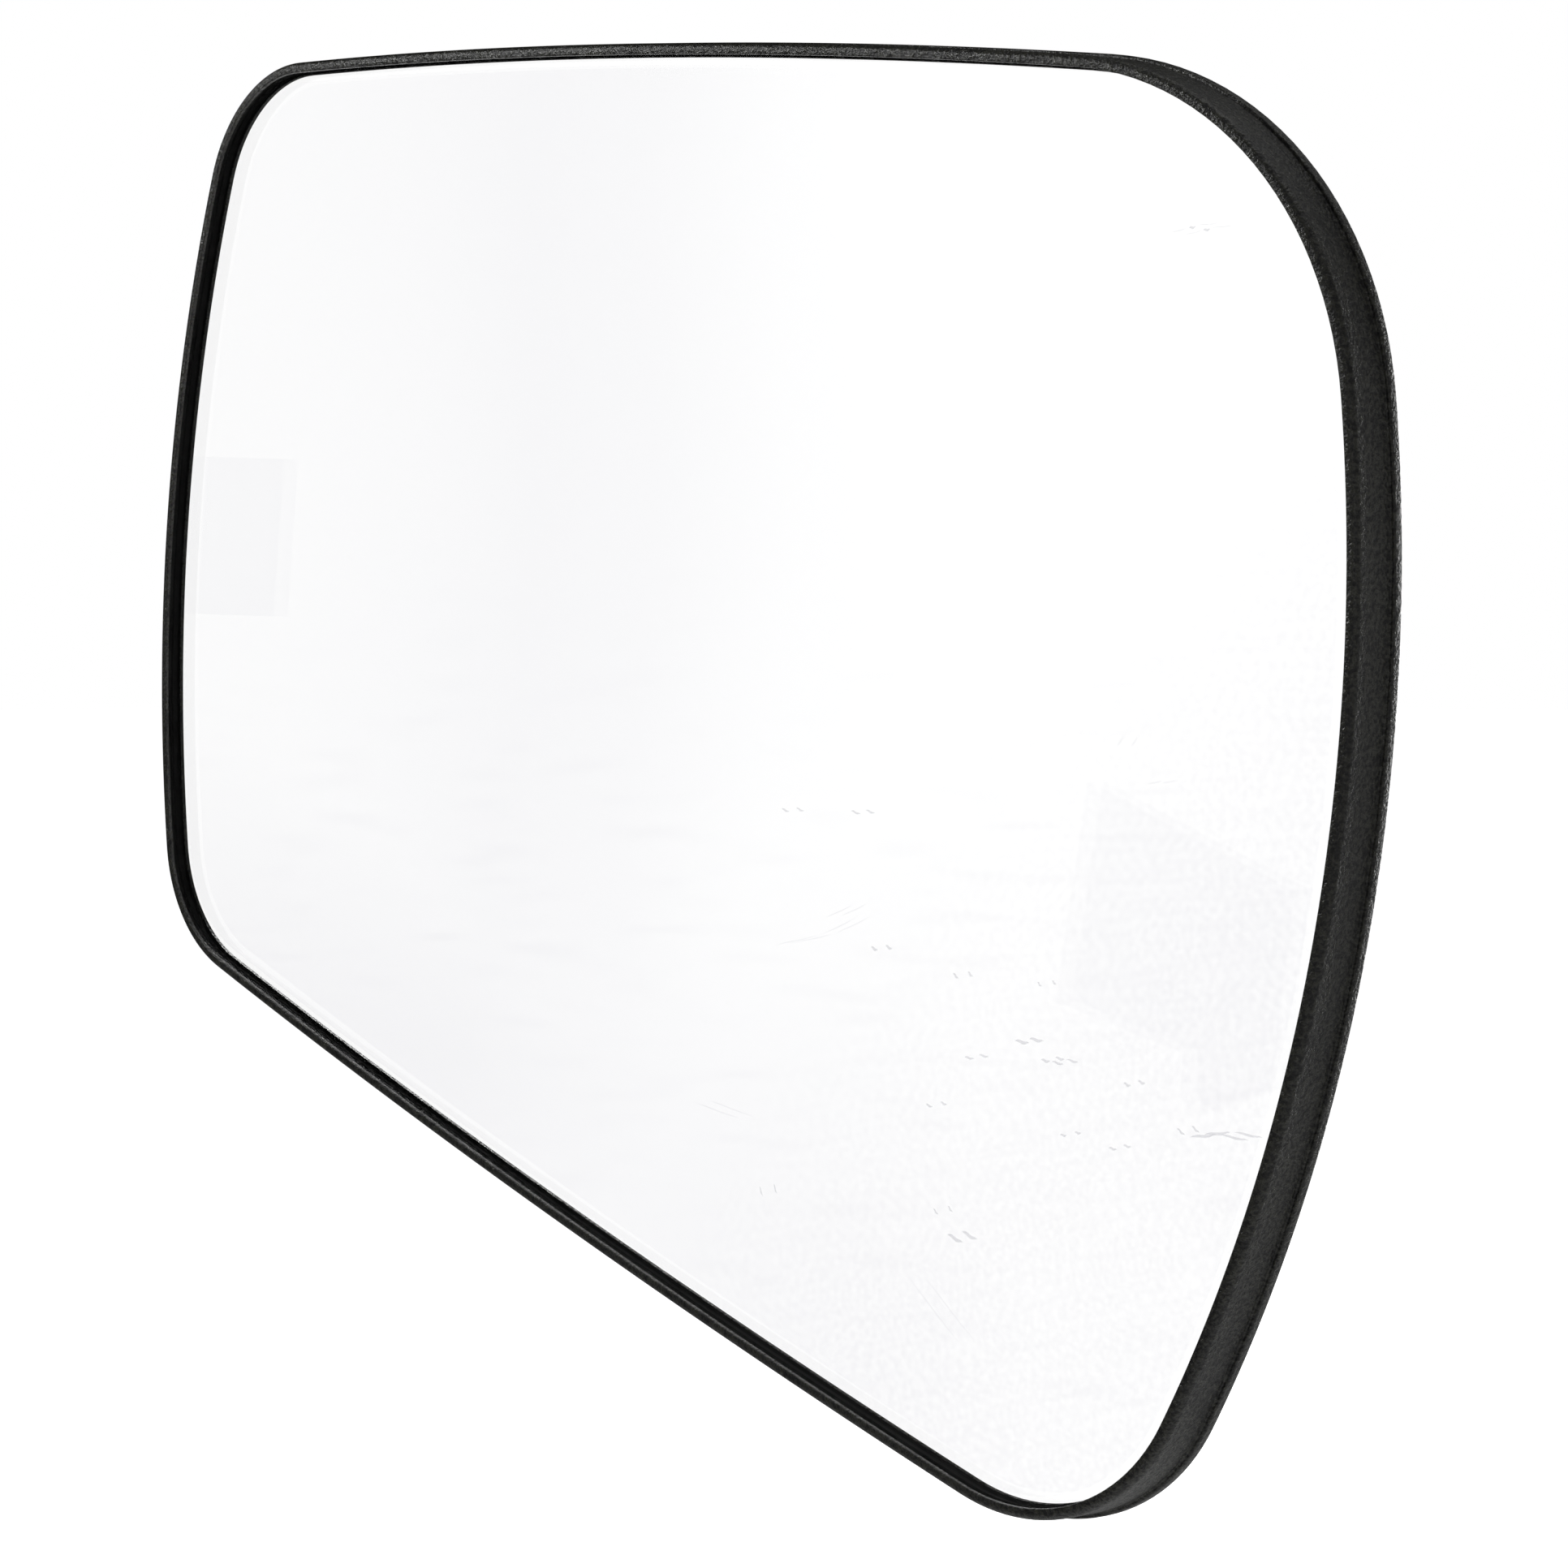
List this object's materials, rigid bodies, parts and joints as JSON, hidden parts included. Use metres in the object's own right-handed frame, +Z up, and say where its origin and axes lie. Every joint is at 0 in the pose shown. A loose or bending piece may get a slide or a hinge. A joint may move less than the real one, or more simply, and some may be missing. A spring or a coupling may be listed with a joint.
{
  "type": "car door mirror glass",
  "caption": "Convex door mirror pane held in a moulded black backing plate with a raised lip all round, low ribs and a snap ring behind for the adjuster.",
  "frame": {"origin": "centre of the flat seat inside the snap ring on the back of the plate", "axes": "+X outboard along the long way of the glass, +Y to the rear along the snap ring's axis, +Z up; the glass faces -Y"},
  "size_m": [0.192, 0.0143, 0.1646],
  "materials": {
    "mirror": "polished convex float glass, silvered on the back",
    "foam": "closed-cell adhesive foam",
    "moulding": "black moulded plastic with a fine grain",
    "film": "clear protective film",
    "tape": "clear tape"
  },
  "bodies": {
    "root": {"mirror_glass": "mirror", "adhesive_pad": "foam", "backing_plate": "moulding", "protective_film": "film", "inboard_tab": "tape", "outboard_tab": "tape"}
  },
  "joints": []
}
